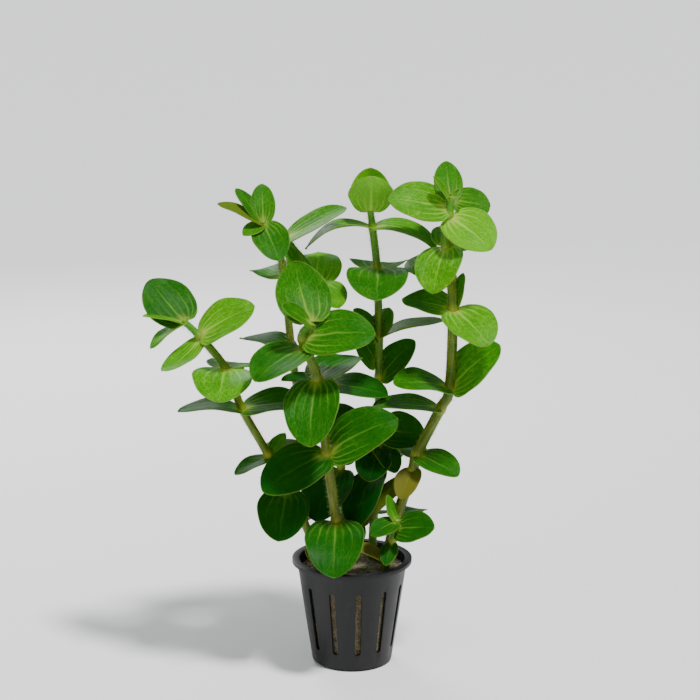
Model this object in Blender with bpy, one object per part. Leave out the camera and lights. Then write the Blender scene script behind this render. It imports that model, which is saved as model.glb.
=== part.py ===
"""A potted bacopa lanigera: seven hairy stems with round opposite leaves, in a slotted plastic pot.

The origin is the centre of the pot's base. +X is to the right, +Y away from the viewer, +Z up.
Lengths in the tables are millimetres and angles are degrees; the meshes are made in metres.
"""
from math import cos, pi, radians, sin

import bmesh
import bpy
from mathutils import Matrix, Vector

MM = 0.001
TOUCH_GAP = 0.3  # between pieces that touch

POT_HEIGHT = 48
POT_TOP_RADIUS = 25
POT_BASE_RADIUS = 18
POT_WALL = 1.2
POT_FLOOR = 1.4
POT_RIM_RADIUS = 27
POT_RIM_DEPTH = 1.6
POT_CHAMFER = 1
TURNED_SIDES = 24
SLOT_COUNT = 12
SLOT_WIDTH = 2.6
SLOT_BOTTOM = 8
SLOT_TOP = 38
DRAIN_COUNT = 6
DRAIN_RADIUS = 2
DRAIN_CIRCLE = 11
DRAIN_SIDES = 6

MEDIUM_TOP = 45
MEDIUM_CROWN = 1.0  # the plug's middle stands this much proud of its edge
CROWN_SHARE = 0.6  # the level middle's radius, as a share of the plug's
PLANTING_DEPTH = 12  # how far each stem goes into the plug

STEM_SIDES = 8
STEM_STEPS = 2  # rings from one joint to the next
STEM_TIP_SHARE = 0.85  # a stem's radius at its tip, as a share of its radius at the plug
YOUNG_SINK = 0.7  # how deep a young leaf's base sits in its stem, as a share of the stem's radius

LEAF_THICKNESS = 0.8
LEAF_ROWS = 6
LEAF_COLUMNS = 5
SMALL_LEAF = 21  # leaves under this length have their middle column and edges alone
SMALL_COLUMNS = 3
LEAF_PEAK = 0.44  # where along the leaf it is widest
LEAF_BASE_SHARE = 0.45  # width at the stalkless base, as a share of the widest
LEAF_TIP_SHARE = 0.2
LEAF_CUP = 0.08  # how far the sides curl up, as a share of the width
LEAF_LOBE = 0.05  # how far the base's lobes reach back past the stem, as a share of the length
LEAF_TIP_ROUND = 0.04
LEAST_NEARNESS = 0.5  # a tilted leaf starts no further out than 1 / this many stem radii

LEAF_GREEN = (0.11, 0.36, 0.03)
OLD_OLIVE = (0.24, 0.23, 0.05)
STEM_OLIVE = (0.26, 0.34, 0.05)
POT_BLACK = (0.02, 0.02, 0.022)
WOOL_BROWN = (0.36, 0.30, 0.18)
SHARP_ANGLE = 40

# Each shoot: radius at the plug, then its joints from the plug's top to its growing tip.
SHOOTS = {
    "front": (2.2, [(-4, -9, 45), (-7, -12, 69), (-11, -18, 101), (-15, -25, 136), (-21, -27, 154),
                    (-17, -28, 161)]),
    "left": (1.9, [(-13, -6, 45), (-22, -7, 68), (-37, -8, 98), (-48, -10, 119), (-55, -12, 138),
                   (-66, -12, 152), (-73, -12, 159)]),
    "centre": (1.9, [(9, 8, 45), (11, 9, 86), (12, 9, 104), (12, 9, 129), (12, 9, 148), (11, 12, 178),
                     (9, 13, 196), (8, 13, 204)]),
    "right": (2.4, [(15, 0, 45), (20, 1, 66), (27, 0, 88), (29, 0, 96), (39, -1, 117), (43, -2, 127),
                    (44, -3, 162), (43, -1, 176), (41, 0, 189), (42, 2, 203), (43, 2, 211)]),
    "rear_left": (1.8, [(-12, 8, 45), (-21, 16, 94), (-27, 13, 141), (-30, 7, 176), (-33, 1, 190),
                        (-39, -3, 201)]),
    "rear": (1.8, [(-3, 12, 45), (-5, 10, 88), (-10, 4, 127), (-16, 10, 171), (-29, 12, 191)]),
    "low": (1.7, [(14, -11, 45), (16, -12, 52), (18, -13, 60), (20, -14, 70)]),
}

# Each leaf: shoot, joint on it (3.9 is just below joint 4), heading, rise, roll, length, width, arch.
# Heading 0 points right and 90 away; roll turns the leaf about its own midrib.
LEAVES = {
    "leaf_front_1_near": ("front", 1, 268, -35, 0, 29, 26, 50),
    "leaf_front_1_far": ("front", 1, 60, -50, 0, 12, 10, 30),
    "leaf_front_2_left": ("front", 2, 208, -23, -30, 31, 24, 30),
    "leaf_front_2_right": ("front", 2, 0, 27, 40, 32, 25, 40),
    "leaf_front_3_near": ("front", 3, 263, -50, 5, 30, 24, 40),
    "leaf_front_3_far": ("front", 3, 56, 9, 0, 27, 23, 20),
    "leaf_front_4_right": ("front", 4.05, 350, 5, 44, 29, 24, 20),
    "leaf_front_4_left": ("front", 3.72, 222, -21, -10, 27, 24, 35),
    "leaf_front_5_near": ("front", 4.95, 214, 32, -40, 15, 11, 10),
    "leaf_front_5_left": ("front", 5, 116, 56, -10, 27, 24, -40),
    "leaf_left_3_left": ("left", 3, 185, 0, 0, 26, 22, 25),
    "leaf_left_3_right": ("left", 3, 0, 5, 15, 27, 22, 25),
    "leaf_left_4_near": ("left", 4, 268, -20, -3, 25, 26, 25),
    "leaf_left_4_far": ("left", 4, 75, -12, 0, 25, 24, 25),
    "leaf_left_5_right": ("left", 5, 353, 29, 38, 26, 22, 20),
    "leaf_left_5_left": ("left", 4.93, 222, -28, -12, 22, 12, -30),
    "leaf_centre_6_left": ("centre", 6, 184, -18, 0, 29, 21, 70),
    "leaf_centre_6_right": ("centre", 6, 352, -19, 9, 28, 20, 60),
    "leaf_centre_5_near": ("centre", 5, 270, -23, 0, 25, 27, 40),
    "leaf_centre_5_far": ("centre", 5, 85, -8, 0, 25, 26, 30),
    "leaf_centre_4_right": ("centre", 4, 0, 14, 0, 27, 20, 15),
    "leaf_centre_3_left": ("centre", 3.25, 165, 58, -40, 17, 13, 20),
    "leaf_centre_3_right": ("centre", 3, 350, 48, 50, 21, 16, 20),
    "leaf_centre_2_right": ("centre", 2, 8, -5, 45, 19, 20, 20),
    "leaf_centre_1_near": ("centre", 1, 240, -50, 15, 27, 23, 30),
    "leaf_centre_1_far": ("centre", 1.1, 75, 5, 0, 25, 22, 30),
    "leaf_right_2_left": ("right", 1.8, 183, -47, -15, 28, 15, 30),
    "leaf_right_3_right": ("right", 3, 324, -17, 15, 20, 17, 25),
    "leaf_right_4_left": ("right", 4, 191, 4, -7, 28, 21, 20),
    "leaf_right_5_right": ("right", 5, 345, 44, 48, 27, 22, 25),
    "leaf_right_5_left": ("right", 5, 204, 9, -16, 25, 22, 25),
    "leaf_right_6_near": ("right", 6, 308, -28, 15, 24, 23, 25),
    "leaf_right_6_left": ("right", 6, 158, 8, -20, 21, 19, 20),
    "leaf_right_7_far": ("right", 7, 140, 12, -23, 22, 20, 30),
    "leaf_right_8_near": ("right", 8, 252, -42, 5, 24, 21, 35),
    "leaf_right_8_far": ("right", 8, 62, 0, 12, 25, 25, 40),
    "leaf_right_9_left": ("right", 9.3, 190, 10, -50, 25, 20, 20),
    "leaf_right_9_right": ("right", 8.9, 323, -29, 34, 23, 22, 20),
    "leaf_rear_left_2_left": ("rear_left", 2, 150, 5, 0, 25, 21, 30),
    "leaf_rear_4_right": ("rear", 4, 0, 27, 17, 28, 20, 10),
    "leaf_rear_3_far": ("rear", 3, 88, 28, 0, 22, 22, 20),
    "leaf_rear_3_near": ("rear", 3, 301, -21, 10, 20, 17, 20),
    "leaf_rear_2_right": ("rear", 2, 345, -8, 17, 25, 20, 20),
    "leaf_rear_1_near": ("rear", 0.94, 239, -45, -5, 27, 25, 30),
    "leaf_left_1_left": ("left", 1.45, 262, -40, -8, 25, 23, 25),
    "leaf_low_3_right": ("low", 2.6, 328, 11, 45, 18, 16, 20),
    "leaf_centre_2_far": ("centre", 2, 140, -5, 0, 20, 18, 30),
    "leaf_right_1_far": ("right", 1, 60, -5, 0, 20, 17, 30),
    "leaf_rear_2_left": ("rear", 2, 195, 8, 0, 20, 18, 30),
    "leaf_rear_1_far": ("rear", 1, 100, 0, 0, 23, 18, 30),
    "leaf_centre_2_left": ("centre", 2.2, 215, -8, -20, 21, 17, 30),
}

OLD_LEAF = "leaf_right_2_left"

# Young leaves and the small leaves of side shoots, in the same columns. They grow as one with their shoot.
YOUNG_LEAVES = [
    ("left", 2, 204, -20, -9, 17, 11, 20),
    ("left", 6, 149, 42, -30, 25, 23, -25),
    ("left", 6, 216, -29, 10, 19, 13, 20),
    ("left", 6, 190, 12, -7, 18, 9, 20),
    ("left", 0.6, 270, -27, -2, 11, 7, 20),
    ("left", 2, 20, 55, 20, 12, 9, 10),
    ("centre", 4.08, 60, 53, 0, 13, 11, 20),
    ("centre", 4, 199, 50, -38, 18, 12, 20),
    ("centre", 1.7, 305, -38, 0, 16, 14, 25),
    ("centre", 7, 270, 66, 0, 18, 20, -70),
    ("centre", 7, 90, 66, 0, 20, 18, -90),
    ("centre", 7, 5, 70, 0, 15, 13, -60),
    ("centre", 7, 175, 70, 0, 15, 13, -60),
    ("right", 2.3, 246, -39, 0, 17, 12, 30),
    ("right", 3, 100, 0, 0, 15, 14, 25),
    ("right", 6.1, 40, 71, 0, 16, 8, 10),
    ("right", 10, 48, -12, 80, 28, 13, 20),
    ("right", 10, 100, 60, 0, 18, 13, -20),
    ("right", 10, 203, 52, -43, 13, 6, 10),
    ("rear_left", 5, 299, -42, 15, 21, 16, 20),
    ("rear_left", 5, 191, 25, -17, 21, 11, 15),
    ("rear_left", 5, 95, 59, 0, 18, 11, 10),
    ("rear_left", 5, 228, -20, -23, 12, 8, 10),
    ("rear_left", 5, 157, 48, -18, 19, 9, 10),
    ("rear_left", 3, 120, 0, 0, 22, 20, 30),
    ("rear_left", 1, 165, 5, 0, 20, 17, 25),
    ("rear", 4, 300, -60, 0, 13, 7, 10),
    ("rear", 0.4, 285, -20, 0, 20, 15, 20),
    ("rear", 1.8, 300, -38, 0, 20, 18, 20),
    ("centre", 1.55, 255, -35, 0, 18, 17, 20),
    ("rear_left", 0.45, 215, -15, 0, 20, 18, 20),
    ("front", 0.5, 248, -8, 0, 15, 12, 20),
    ("centre", 0.5, 85, -15, 0, 19, 17, 20),
    ("low", 3, 215, -16, -22, 14, 11, 20),
    ("low", 2, 252, -38, 0, 12, 8, 20),
    ("low", 3, 140, 65, 0, 12, 7, -20),
    ("low", 1, 198, 25, -19, 16, 11, 20),
]


def material(name, colour, roughness):
    surface = bpy.data.materials.new(name)
    surface.use_nodes = True
    shader = surface.node_tree.nodes["Principled BSDF"]
    shader.inputs["Base Color"].default_value = (*colour, 1)
    shader.inputs["Roughness"].default_value = roughness
    return surface


def add_object(name, mesh, surface):
    piece = bpy.data.objects.new(name, mesh)
    bpy.context.collection.objects.link(piece)
    mesh.materials.append(surface)
    mesh.shade_smooth()
    mesh.set_sharp_from_angle(angle=radians(SHARP_ANGLE))
    return piece


def mesh_from(name, points, faces):
    """A mesh in metres from points in millimetres, with its faces turned outwards."""
    mesh = bpy.data.meshes.new(name)
    mesh.from_pydata([Vector(p) * MM for p in points], [], faces)
    shape = bmesh.new()
    shape.from_mesh(mesh)
    bmesh.ops.recalc_face_normals(shape, faces=shape.faces)
    shape.to_mesh(mesh)
    shape.free()
    return mesh


def hide_cutter(piece):
    piece.hide_render = True
    piece.display_type = "WIRE"


def boolean(piece, other, operation):
    step = piece.modifiers.new(f"{operation} {other.name}".lower(), "BOOLEAN")
    step.operation = operation
    step.solver = "EXACT"
    step.object = other


def turned(name, profile):
    """A solid of revolution: the profile runs from the axis, round the wall and back to the axis."""
    shape = bmesh.new()
    points = [shape.verts.new((r * MM, 0, z * MM)) for r, z in profile]
    edges = [shape.edges.new(pair) for pair in zip(points, points[1:])]
    bmesh.ops.spin(shape, geom=points + edges, axis=(0, 0, 1), cent=(0, 0, 0), angle=2 * pi,
                   steps=TURNED_SIDES, use_merge=True)
    bmesh.ops.remove_doubles(shape, verts=shape.verts, dist=0.01 * MM)
    bmesh.ops.recalc_face_normals(shape, faces=shape.faces)
    mesh = bpy.data.meshes.new(name)
    shape.to_mesh(mesh)
    shape.free()
    return mesh


def pot_outer_radius(z):
    return POT_BASE_RADIUS + (POT_TOP_RADIUS - POT_BASE_RADIUS) * z / POT_HEIGHT


def pot_inner_radius(z):
    return pot_outer_radius(z) - POT_WALL


def pot_openings():
    """One cutter for the slots in the wall and the round drains in the floor."""
    shape = bmesh.new()
    height = (SLOT_TOP - SLOT_BOTTOM) * MM
    middle = (SLOT_TOP + SLOT_BOTTOM) / 2 * MM
    reach = POT_RIM_RADIUS - POT_BASE_RADIUS / 2
    across = POT_RIM_RADIUS - reach / 2
    for index in range(SLOT_COUNT):
        turn = 2 * pi * (index + 0.25) / SLOT_COUNT
        place = Matrix.Rotation(turn, 4, "Z") @ Matrix.Translation((across * MM, 0, middle))
        size = Matrix.Diagonal((reach * MM, SLOT_WIDTH * MM, height, 1))
        bmesh.ops.create_cube(shape, size=1, matrix=place @ size)
    for index in range(DRAIN_COUNT):
        turn = 2 * pi * index / DRAIN_COUNT
        centre = Matrix.Translation((DRAIN_CIRCLE * cos(turn) * MM, DRAIN_CIRCLE * sin(turn) * MM, 0))
        bmesh.ops.create_cone(shape, cap_ends=True, segments=DRAIN_SIDES, radius1=DRAIN_RADIUS * MM,
                              radius2=DRAIN_RADIUS * MM, depth=POT_BASE_RADIUS * MM, matrix=centre)
    mesh = bpy.data.meshes.new("pot_openings")
    shape.to_mesh(mesh)
    shape.free()
    return mesh


def make_pot():
    rim_base = POT_HEIGHT - POT_RIM_DEPTH
    profile = [(0, 0), (POT_BASE_RADIUS - POT_CHAMFER, 0), (pot_outer_radius(POT_CHAMFER), POT_CHAMFER),
               (pot_outer_radius(rim_base), rim_base), (POT_RIM_RADIUS, rim_base), (POT_RIM_RADIUS, POT_HEIGHT),
               (pot_inner_radius(POT_HEIGHT), POT_HEIGHT), (pot_inner_radius(POT_FLOOR), POT_FLOOR),
               (0, POT_FLOOR)]
    plastic = material("black_plastic", POT_BLACK, 0.45)
    pot = add_object("pot", turned("pot", profile), plastic)
    cutter = add_object("pot_openings", pot_openings(), plastic)
    hide_cutter(cutter)
    boolean(pot, cutter, "DIFFERENCE")


def smooth_route(joints, steps):
    """A smooth curve through the joints, with the given number of points from one to the next."""
    padded = [joints[0] * 2 - joints[1], *joints, joints[-1] * 2 - joints[-2]]
    route = []
    for before, start, end, after in zip(padded, padded[1:], padded[2:], padded[3:]):
        for index in range(steps):
            t = index / steps
            route.append(0.5 * (2 * start + (end - before) * t
                                + (2 * before - 5 * start + 4 * end - after) * t ** 2
                                + (3 * start - before - 3 * end + after) * t ** 3))
    route.append(joints[-1])
    return route


def tangents(route):
    ends = [route[0], *route, route[-1]]
    return [(after - before).normalized() for before, after in zip(ends, ends[2:])]


def tube_mesh(name, route, radii):
    """A closed round tube along the route, with a flat end at the bottom and a point at the top."""
    points, faces = [], []
    side = Vector((1, 0, 0))
    for place, along, radius in zip(route, tangents(route), radii):
        side = (side - along * side.dot(along)).normalized()
        other = along.cross(side)
        for index in range(STEM_SIDES):
            turn = 2 * pi * index / STEM_SIDES
            points.append(place + radius * (side * cos(turn) + other * sin(turn)))
    for ring in range(len(route) - 1):
        for index in range(STEM_SIDES):
            low, after = ring * STEM_SIDES + index, ring * STEM_SIDES + (index + 1) % STEM_SIDES
            faces.append((low, after, after + STEM_SIDES, low + STEM_SIDES))
    faces.append(tuple(range(STEM_SIDES)))
    last = len(points) - STEM_SIDES
    points.append(route[-1] + tangents(route)[-1] * radii[-1])
    faces += [(last + index, last + (index + 1) % STEM_SIDES, last + STEM_SIDES)
              for index in range(STEM_SIDES)]
    return mesh_from(name, points, faces)


def shoot_joints(shoot):
    return [Vector(joint) for joint in SHOOTS[shoot][1]]


def shoot_route(shoot):
    """The whole stem's smooth centre line, from inside the plug to the growing tip."""
    joints = shoot_joints(shoot)
    root = joints[0] - Vector((0, 0, PLANTING_DEPTH))
    return [root] + smooth_route(joints, STEM_STEPS)


def radius_at(shoot, share):
    """A stem's radius at a share of its route, 0 at the plug and 1 at the tip."""
    return SHOOTS[shoot][0] * (1 - (1 - STEM_TIP_SHARE) * share)


def joint_frame(shoot, joint):
    """Where a joint is, which way the stem runs there, and the stem's radius."""
    joints = shoot_joints(shoot)
    route = smooth_route(joints, STEM_STEPS)
    index = min(int(joint * STEM_STEPS), len(route) - 2)
    share = joint * STEM_STEPS - index
    ways = tangents(route)
    place = route[index].lerp(route[index + 1], share)
    way = ways[index].lerp(ways[index + 1], share).normalized()
    return place, way, radius_at(shoot, joint / (len(joints) - 1))


def half_width(share):
    """A leaf's half width at a share of its length, as a share of the widest: two arcs of ellipses."""
    if share < LEAF_PEAK:
        offset = (LEAF_PEAK - share) / LEAF_PEAK * (1 - LEAF_BASE_SHARE ** 2) ** 0.5
    else:
        offset = (share - LEAF_PEAK) / (1 - LEAF_PEAK) * (1 - LEAF_TIP_SHARE ** 2) ** 0.5
    return (1 - offset ** 2) ** 0.5


def leaf_axes(heading, rise, roll):
    """The leaf's own directions: along its midrib, across it, and up out of its upper side."""
    heading, rise, roll = radians(heading), radians(rise), radians(roll)
    along = Vector((cos(heading) * cos(rise), sin(heading) * cos(rise), sin(rise)))
    level = Vector((-sin(heading), cos(heading), 0))
    upper = along.cross(level)
    return along, level * cos(roll) + upper * sin(roll), upper * cos(roll) - level * sin(roll)


def leaf_point(share, side, length, width, arch, lift):
    """A point of the leaf's middle surface, or off it by lift, as distances along, across and up."""
    share = share - LEAF_LOBE * side ** 2 * (1 - share) ** 3 - LEAF_TIP_ROUND * side ** 2 * share ** 2
    bend = radians(arch)
    lean = bend * (0.5 - share)
    scale = length / (2 * sin(bend / 2))
    along = scale * (sin(bend / 2) - sin(lean)) - lift * sin(lean)
    up = scale * (cos(lean) - cos(bend / 2)) + lift * cos(lean)
    return along, up


def leaf_mesh(name, base, axes, length, width, arch, columns):
    """A thin leaf, thickest at its middle, whose upper and lower sides meet at its edge."""
    along, across, upper = axes
    points, faces = [], []
    grid = {}
    for row in range(LEAF_ROWS):
        share = (1 - cos(pi * row / (LEAF_ROWS - 1))) / 2
        for column in range(columns):
            side = 2 * column / (columns - 1) - 1
            edge = row in (0, LEAF_ROWS - 1) or column in (0, columns - 1)
            half = LEAF_THICKNESS / 2 * (1 - side ** 2)
            for face, sign in (("top", 1), ("bottom", -1)):
                if edge and face == "bottom":
                    grid[face, row, column] = grid["top", row, column]
                    continue
                lift = LEAF_CUP * width * side ** 2 * sin(pi * share) + (0 if edge else sign * half)
                far, up = leaf_point(share, side, length, width, arch, lift)
                out = side * width / 2 * half_width(share)
                grid[face, row, column] = len(points)
                points.append(base + along * far + upper * up + across * out)
    for row in range(LEAF_ROWS - 1):
        for column in range(columns - 1):
            # each square is split by the diagonal that runs inwards: no triangle has every corner on the rim
            corners = [(row, column), (row + 1, column), (row + 1, column + 1), (row, column + 1)]
            if (row < (LEAF_ROWS - 1) / 2) != (column < (columns - 1) / 2):
                corners = corners[1:] + corners[:1]
            for face in ("top", "bottom"):
                a, b, c, d = [grid[(face, *corner)] for corner in corners]
                faces += [(a, b, c), (a, c, d)] if face == "top" else [(c, b, a), (d, c, a)]
    return mesh_from(name, points, faces)


def leaf_base(shoot, joint, axes, sink):
    """Where a leaf starts: on the side of the stem that it points to, or sunk a share into the stem."""
    place, stem, radius = joint_frame(shoot, joint)
    along, across = axes[:2]
    outward = (along - stem * along.dot(stem)).normalized()
    if sink:
        return place + outward * radius * (1 - sink) - stem * radius * sink
    # a tilted base edge passes the stem nearer than the midrib does, so it starts further out
    nearness = abs(outward.dot(across.cross(stem).normalized()))
    return place + outward * (radius + TOUCH_GAP) / max(nearness, LEAST_NEARNESS)


def make_leaf(name, row, surface, sink=0.0):
    shoot, joint, heading, rise, roll, length, width, arch = row
    columns = SMALL_COLUMNS if length < SMALL_LEAF else LEAF_COLUMNS
    axes = leaf_axes(heading, rise, roll)
    base = leaf_base(shoot, joint, axes, sink)
    return add_object(name, leaf_mesh(name, base, axes, length, width, arch, columns), surface)


def make_stems():
    surface = material("stem", STEM_OLIVE, 0.5)
    for shoot in SHOOTS:
        route = shoot_route(shoot)
        last = len(route) - 2
        radii = [radius_at(shoot, max(0, index - 1) / last) for index in range(len(route))]
        stem = add_object(f"stem_{shoot}", tube_mesh(shoot, route, radii), surface)
        young = [row for row in YOUNG_LEAVES if row[0] == shoot]
        for index, row in enumerate(young):
            leaf = make_leaf(f"young_{shoot}_{index}", row, surface, sink=YOUNG_SINK)
            hide_cutter(leaf)
            boolean(stem, leaf, "UNION")


def make_medium():
    """The plug: a fit inside the pot, with a hole for every stem."""
    low = POT_FLOOR + TOUCH_GAP
    profile = [(0, low), (pot_inner_radius(low) - TOUCH_GAP, low),
               (pot_inner_radius(MEDIUM_TOP) - TOUCH_GAP, MEDIUM_TOP - MEDIUM_CROWN),
               (pot_inner_radius(MEDIUM_TOP) * CROWN_SHARE, MEDIUM_TOP), (0, MEDIUM_TOP)]
    surface = material("mineral_wool", WOOL_BROWN, 0.95)
    medium = add_object("growing_medium", turned("growing_medium", profile), surface)
    for shoot in SHOOTS:
        foot = shoot_joints(shoot)[0]
        depth = Vector((0, 0, PLANTING_DEPTH + TOUCH_GAP))
        route = [foot - depth, foot, foot + depth]
        radii = [SHOOTS[shoot][0] + TOUCH_GAP] * len(route)
        hole = add_object(f"hole_{shoot}", tube_mesh(shoot, route, radii), surface)
        hide_cutter(hole)
        boolean(medium, hole, "DIFFERENCE")


def make_leaves():
    fresh, old = material("leaf", LEAF_GREEN, 0.4), material("old_leaf", OLD_OLIVE, 0.6)
    for name, row in LEAVES.items():
        make_leaf(name, row, old if name == OLD_LEAF else fresh)


for piece in list(bpy.data.objects):
    bpy.data.objects.remove(piece)
make_pot()
make_medium()
make_stems()
make_leaves()
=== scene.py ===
import math
import random

import bmesh
import bpy
from mathutils import Matrix, Vector, noise


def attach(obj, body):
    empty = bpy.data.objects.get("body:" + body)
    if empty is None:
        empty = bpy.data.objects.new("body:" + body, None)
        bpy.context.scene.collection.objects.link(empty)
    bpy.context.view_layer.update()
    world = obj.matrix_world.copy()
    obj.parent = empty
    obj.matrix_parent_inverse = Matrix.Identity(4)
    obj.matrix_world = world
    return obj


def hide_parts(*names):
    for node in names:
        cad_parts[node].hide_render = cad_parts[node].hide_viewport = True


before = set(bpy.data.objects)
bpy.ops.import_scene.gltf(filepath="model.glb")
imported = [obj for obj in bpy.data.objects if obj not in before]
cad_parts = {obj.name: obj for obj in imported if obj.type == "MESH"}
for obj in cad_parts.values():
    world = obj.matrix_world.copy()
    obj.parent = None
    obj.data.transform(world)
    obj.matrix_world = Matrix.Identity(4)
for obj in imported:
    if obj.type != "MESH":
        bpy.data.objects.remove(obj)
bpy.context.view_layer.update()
mm = 0.001

# The plant's plan, in millimetres and degrees. The solids have the same but for eight leaves: here six are
# turned or smaller, so that they miss other shoots, and the two inside the bud are narrower.
# Each shoot: its radius at the plug, then its joints from the plug's top to the growing tip.
shoots = {
    "front": (2.2, [(-4, -9, 45), (-7, -12, 69), (-11, -18, 101), (-15, -25, 136), (-21, -27, 154),
                    (-17, -28, 161)]),
    "left": (1.9, [(-13, -6, 45), (-22, -7, 68), (-37, -8, 98), (-48, -10, 119), (-55, -12, 138),
                   (-66, -12, 152), (-73, -12, 159)]),
    "centre": (1.9, [(9, 8, 45), (11, 9, 86), (12, 9, 104), (12, 9, 129), (12, 9, 148), (11, 12, 178),
                     (9, 13, 196), (8, 13, 204)]),
    "right": (2.4, [(15, 0, 45), (20, 1, 66), (27, 0, 88), (29, 0, 96), (39, -1, 117), (43, -2, 127),
                    (44, -3, 162), (43, -1, 176), (41, 0, 189), (42, 2, 203), (43, 2, 211)]),
    "rear_left": (1.8, [(-12, 8, 45), (-21, 16, 94), (-27, 13, 141), (-30, 7, 176), (-33, 1, 190),
                        (-39, -3, 201)]),
    "rear": (1.8, [(-3, 12, 45), (-5, 10, 88), (-10, 4, 127), (-16, 10, 171), (-29, 12, 191)]),
    "low": (1.7, [(14, -11, 45), (16, -12, 52), (18, -13, 60), (20, -14, 70)]),
}

# Each leaf: joint, heading, rise, roll, length, width, arch, tone. Tone runs from 0, deep green, to 1, the
# pale lime of new growth. It is partly the leaf's own colour and partly painted light and shade: leaves low
# in the plant, in shadow, are set darker, and lit leaves at the top are set paler. Rows are under their
# shoot's name.
leaves = {
    "front": {
        "1_near": (1, 268, -35, 0, 29, 26, 50, 0.22),
        "1_far": (1, 60, -50, 0, 12, 10, 30, 0.1),
        "2_left": (2, 208, -23, -30, 31, 24, 30, 0.1),
        "2_right": (2, 0, 27, 40, 32, 25, 40, 0.3),
        "3_near": (3, 263, -50, 5, 30, 24, 40, 0.35),
        "3_far": (3, 56, 9, 0, 27, 23, 20, 0.3),
        "4_right": (4.05, 350, 5, 41, 29, 24, 20, 0.42),
        "4_left": (3.72, 222, -21, -10, 27, 24, 35, 0.35),
        "5_near": (4.95, 214, 32, -40, 15, 11, 10, 0.45),
        "5_left": (5, 116, 56, -10, 27, 24, -40, 0.45),
    },
    "left": {
        "3_left": (3, 185, 0, 0, 26, 22, 25, 0.35),
        "3_right": (3, 0, 5, 15, 27, 22, 25, 0.4),
        "4_near": (4, 268, -20, -3, 25, 26, 25, 0.75),
        "4_far": (4, 75, -12, 0, 25, 24, 25, 0.45),
        "5_right": (5, 353, 29, 38, 26, 22, 20, 0.8),
        "5_left": (4.93, 222, -28, -12, 22, 12, -30, 0.8),
        "1_left": (1.45, 262, -40, -8, 25, 23, 25, 0.1),
    },
    "centre": {
        "6_left": (6, 184, -18, 0, 29, 21, 70, 0.7),
        "6_right": (6, 352, -19, 9, 28, 20, 60, 0.7),
        "5_near": (5, 270, -23, 0, 25, 27, 40, 0.38),
        "5_far": (5, 85, -8, 0, 25, 26, 30, 0.5),
        "4_right": (4, 0, 14, 0, 27, 20, 15, 0.35),
        "3_left": (3.25, 165, 58, -40, 17, 13, 20, 0.3),
        "3_right": (3, 350, 48, 50, 21, 16, 20, 0.25),
        "2_right": (2, 8, -5, 45, 19, 20, 20, 0.2),
        "1_near": (1, 240, -50, 15, 27, 23, 30, 0.03),
        "1_far": (1.1, 75, 5, 0, 25, 22, 30, 0.1),
        "2_far": (2, 140, -5, 0, 20, 18, 30, 0.15),
        "2_left": (2.2, 215, -11, -20, 21, 17, 30, 0.1),
    },
    "right": {
        "2_left": (1.8, 183, -47, -15, 28, 15, 30, 0.3),
        "3_right": (3, 324, -17, 15, 20, 17, 25, 0.3),
        "4_left": (4, 191, 4, -7, 28, 21, 20, 0.42),
        "5_right": (5, 345, 44, 48, 27, 22, 25, 0.62),
        "5_left": (5, 204, 9, -16, 25, 22, 25, 0.45),
        "6_near": (6, 308, -28, 15, 24, 23, 25, 0.8),
        "6_left": (6, 158, 8, -20, 21, 19, 20, 0.6),
        "7_far": (7, 140, 12, -23, 22, 20, 30, 0.5),
        "8_near": (8, 252, -42, 5, 24, 21, 35, 0.75),
        "8_far": (8, 62, 0, 12, 25, 25, 40, 0.6),
        "9_left": (9.3, 190, 10, -50, 25, 20, 20, 0.8),
        "9_right": (8.9, 323, -29, 34, 23, 22, 20, 1.0),
        "1_far": (1, 60, -5, 0, 20, 17, 30, 0.15),
    },
    "rear_left": {
        "2_left": (2, 150, 5, 0, 25, 21, 30, 0.3),
    },
    "rear": {
        "4_right": (4, 0, 27, 17, 28, 20, 10, 0.65),
        "3_far": (3, 88, 28, 0, 22, 22, 20, 0.9),
        "3_near": (3, 301, -21, 10, 20, 17, 20, 0.75),
        "2_right": (2, 345, -8, 17, 25, 20, 20, 0.2),
        "1_near": (0.94, 234, -45, -5, 26, 24, 30, 0.03),
        "2_left": (2, 195, 8, 0, 20, 18, 30, 0.25),
        "1_far": (1, 100, 0, 0, 23, 18, 30, 0.1),
    },
    "low": {
        "3_right": (2.6, 328, 11, 45, 18, 16, 20, 0.2),
    },
}

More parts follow.
